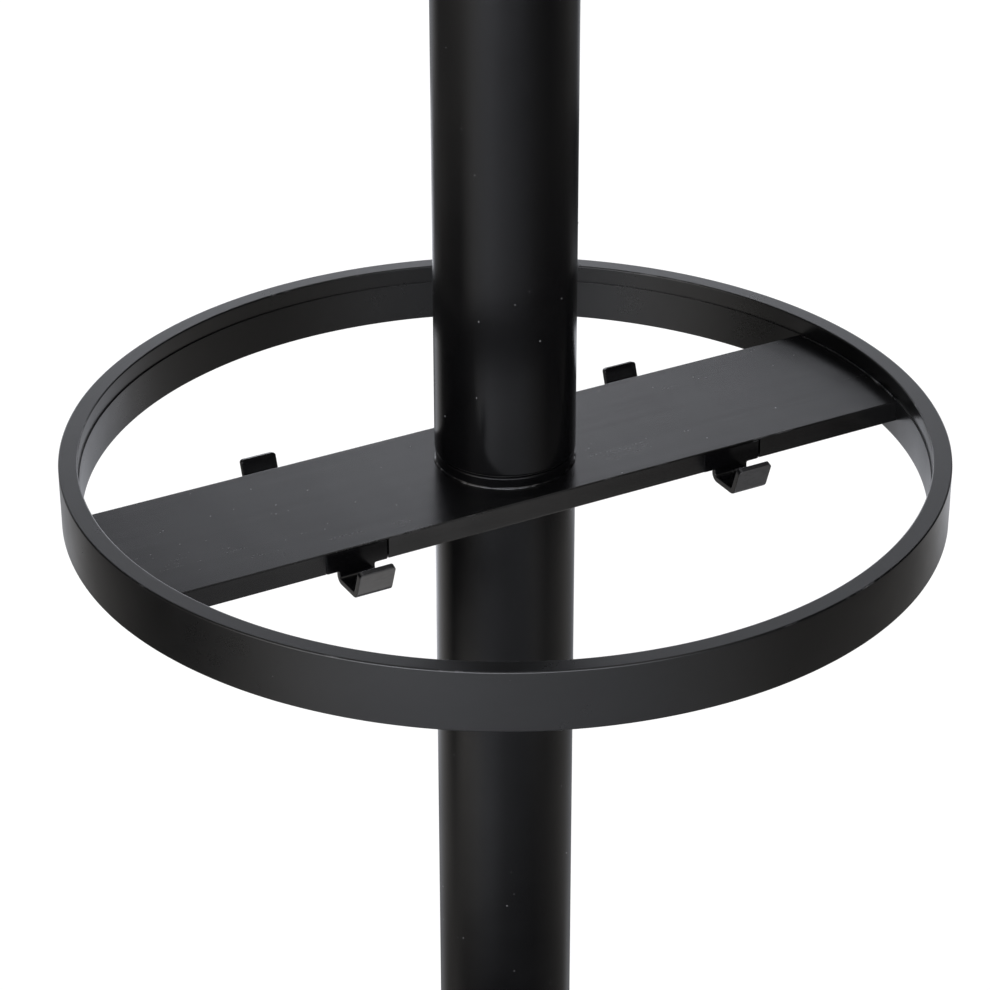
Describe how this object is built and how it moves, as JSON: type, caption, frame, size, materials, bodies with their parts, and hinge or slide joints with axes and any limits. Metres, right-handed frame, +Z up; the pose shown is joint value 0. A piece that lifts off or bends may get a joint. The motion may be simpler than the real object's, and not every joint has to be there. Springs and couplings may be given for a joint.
{
  "type": "round garment rack",
  "caption": "Free-standing garment rack: post on a disc base, umbrella ring on a crossbar with small hooks, turning upper post with coat hook ring.",
  "frame": {"origin": "on the floor under the middle of the base", "axes": "+Z up along the post, X along both crossbars, -Y towards the front"},
  "size_m": [0.4438, 0.4438, 1.72],
  "materials": {
    "black_powder_coat": "satin black powder coat",
    "zinc_plated_steel": "bright zinc plate",
    "black_nylon": "moulded nylon",
    "glide_rubber": "matt rubber",
    "black_screw_steel": "black zinc screw"
  },
  "bodies": {
    "stand": {"base_plate": "black_powder_coat", "base_cover": "black_powder_coat", "foot_collar": "black_powder_coat", "lower_post": "black_powder_coat", "middle_ring": "black_powder_coat", "middle_crossbar": "black_powder_coat", "small_hook_front_left": "black_powder_coat", "small_hook_front_right": "black_powder_coat", "small_hook_back_left": "black_powder_coat", "small_hook_back_right": "black_powder_coat", "spindle": "black_powder_coat", "foot_plug": "zinc_plated_steel", "base_washer": "zinc_plated_steel", "base_bolt": "zinc_plated_steel", "weld_nuts": "zinc_plated_steel", "post_head_plug": "zinc_plated_steel", "retaining_washer": "zinc_plated_steel", "retaining_bolt": "zinc_plated_steel", "thrust_washer": "black_nylon", "collar_set_screw": "black_screw_steel"},
    "upper_stand": {"upper_post": "black_powder_coat", "lower_bush": "black_nylon", "upper_bush": "black_nylon", "top_plug": "zinc_plated_steel", "cap_stud": "zinc_plated_steel", "top_crossbar": "black_powder_coat", "top_ring": "black_powder_coat", "top_cap": "black_powder_coat", "hook_screws": "black_screw_steel", "coat_hook_1": "black_powder_coat", "coat_hook_2": "black_powder_coat", "coat_hook_3": "black_powder_coat", "coat_hook_4": "black_powder_coat", "coat_hook_5": "black_powder_coat", "coat_hook_6": "black_powder_coat", "coat_hook_7": "black_powder_coat", "coat_hook_8": "black_powder_coat"},
    "glide_1": {"glide_1_pad": "glide_rubber", "glide_1_screw": "zinc_plated_steel"},
    "glide_2": {"glide_2_pad": "glide_rubber", "glide_2_screw": "zinc_plated_steel"},
    "glide_3": {"glide_3_pad": "glide_rubber", "glide_3_screw": "zinc_plated_steel"},
    "glide_4": {"glide_4_pad": "glide_rubber", "glide_4_screw": "zinc_plated_steel"}
  },
  "joints": [
    {"name": "upper_stand_turn", "type": "hinge", "parent": "stand", "child": "upper_stand", "pos_m": [0, 0, 0.5943], "axis": [0, 0, 1], "continuous": true},
    {"name": "glide_1_height", "type": "slide", "parent": "stand", "child": "glide_1", "axis": [0, 0, -1], "range_m": [0, 0.006]},
    {"name": "glide_2_height", "type": "slide", "parent": "stand", "child": "glide_2", "axis": [0, 0, -1], "range_m": [0, 0.006]},
    {"name": "glide_3_height", "type": "slide", "parent": "stand", "child": "glide_3", "axis": [0, 0, -1], "range_m": [0, 0.006]},
    {"name": "glide_4_height", "type": "slide", "parent": "stand", "child": "glide_4", "axis": [0, 0, -1], "range_m": [0, 0.006]}
  ]
}
